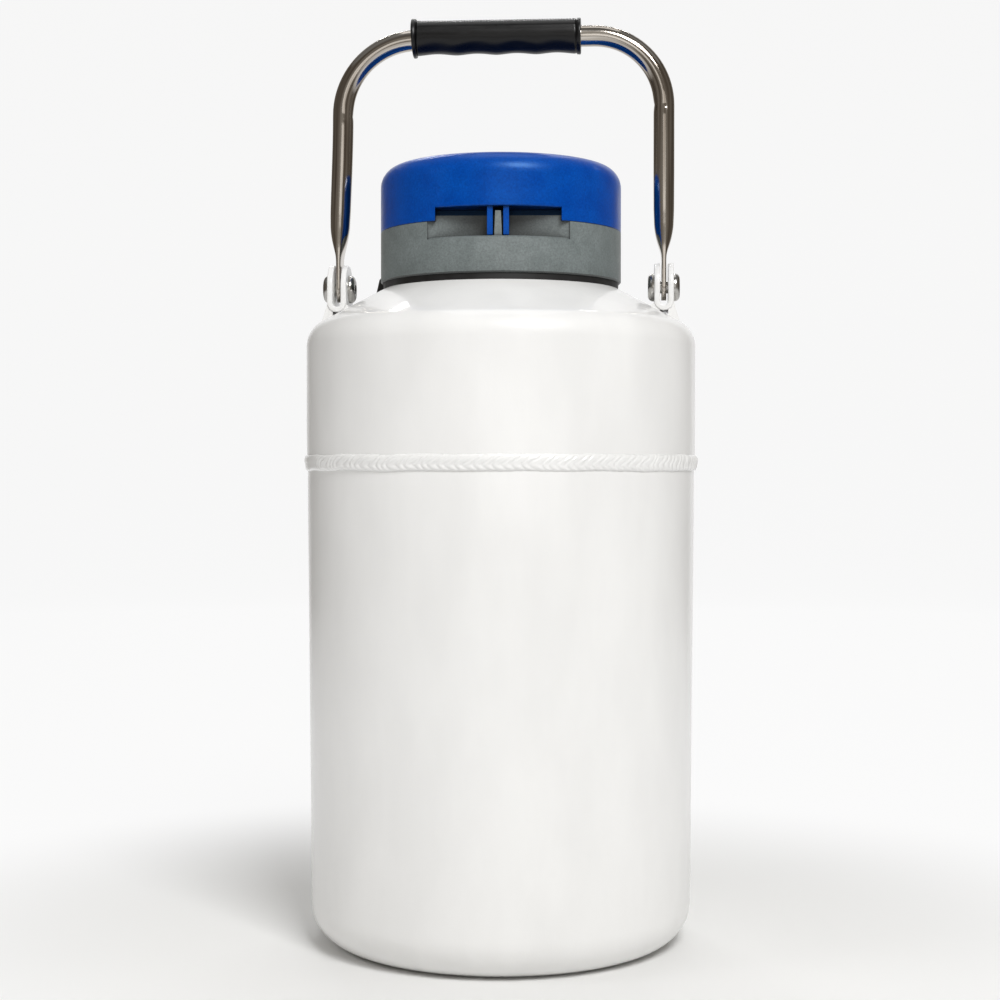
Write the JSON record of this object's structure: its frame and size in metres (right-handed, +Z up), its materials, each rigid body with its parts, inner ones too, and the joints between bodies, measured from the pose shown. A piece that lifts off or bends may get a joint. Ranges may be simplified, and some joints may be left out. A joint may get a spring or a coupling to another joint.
{
  "type": "liquid nitrogen dewar",
  "caption": "Small round storage dewar with a white welded jacket, a lockable grey and blue lid with a neck plug, and a tubular swinging bail with a black grip.",
  "frame": {"origin": "middle of the base, on the surface it stands on", "axes": "+Z up along the vessel, X along the bail's pivot axis, the lock notch faces -Y"},
  "size_m": [0.2262, 0.2262, 0.5294],
  "materials": {
    "white_powder_coat": "fine-textured white powder coat",
    "bare_aluminium": "spun aluminium",
    "stainless_polished": "polished stainless tube",
    "stainless_fastener": "machined stainless",
    "glass_fibre_neck": "glass-fibre laminate",
    "foil_insulation": "wrapped foil and paper",
    "black_gasket_rubber": "smooth black rubber",
    "black_grip_rubber": "moulded black rubber",
    "grey_abs": "fine-grained moulded plastic",
    "blue_abs": "fine-grained moulded plastic",
    "white_plastic": "moulded plastic",
    "white_foam": "rigid closed-cell foam"
  },
  "bodies": {
    "vessel": {"adsorbent_ring": "bare_aluminium", "base_gasket": "black_gasket_rubber", "base_ring_screws": "stainless_fastener", "canister_1": "bare_aluminium", "canister_2": "bare_aluminium", "canister_3": "bare_aluminium", "canister_4": "bare_aluminium", "canister_5": "bare_aluminium", "canister_6": "bare_aluminium", "canister_index_ring": "white_plastic", "canister_rod_1": "stainless_fastener", "canister_rod_2": "stainless_fastener", "canister_rod_3": "stainless_fastener", "canister_rod_4": "stainless_fastener", "canister_rod_5": "stainless_fastener", "canister_rod_6": "stainless_fastener", "girth_weld": "white_powder_coat", "inner_can": "bare_aluminium", "inner_dome": "bare_aluminium", "inner_weld": "bare_aluminium", "insulation_wrap": "foil_insulation", "left_lug": "white_powder_coat", "left_lug_weld": "white_powder_coat", "left_pivot_barrel": "stainless_fastener", "left_pivot_screw": "stainless_fastener", "lid_base_ring": "grey_abs", "neck_collar": "bare_aluminium", "neck_tube": "glass_fibre_neck", "outer_can": "white_powder_coat", "outer_shoulder": "white_powder_coat", "right_lug": "white_powder_coat", "right_lug_weld": "white_powder_coat", "right_pivot_barrel": "stainless_fastener", "right_pivot_screw": "stainless_fastener", "vacuum_port_cap": "black_gasket_rubber", "vacuum_port_plug": "black_gasket_rubber", "vacuum_port_stub": "bare_aluminium"},
    "handle": {"handle_tube": "stainless_polished", "handle_grip": "black_grip_rubber"},
    "lid": {"lid_cover": "blue_abs", "lid_inner_plate": "white_plastic", "lid_foam": "white_foam", "lid_screws": "stainless_fastener", "neck_plug": "white_foam"}
  },
  "joints": [
    {"name": "handle_swing", "type": "hinge", "parent": "vessel", "child": "handle", "pos_m": [0, 0, 0.37418], "axis": [1, 0, 0], "range_deg": [-100, 100]},
    {"name": "lid_lift", "type": "slide", "parent": "vessel", "child": "lid", "axis": [0, 0, 1], "range_m": [0, 0.058]}
  ]
}
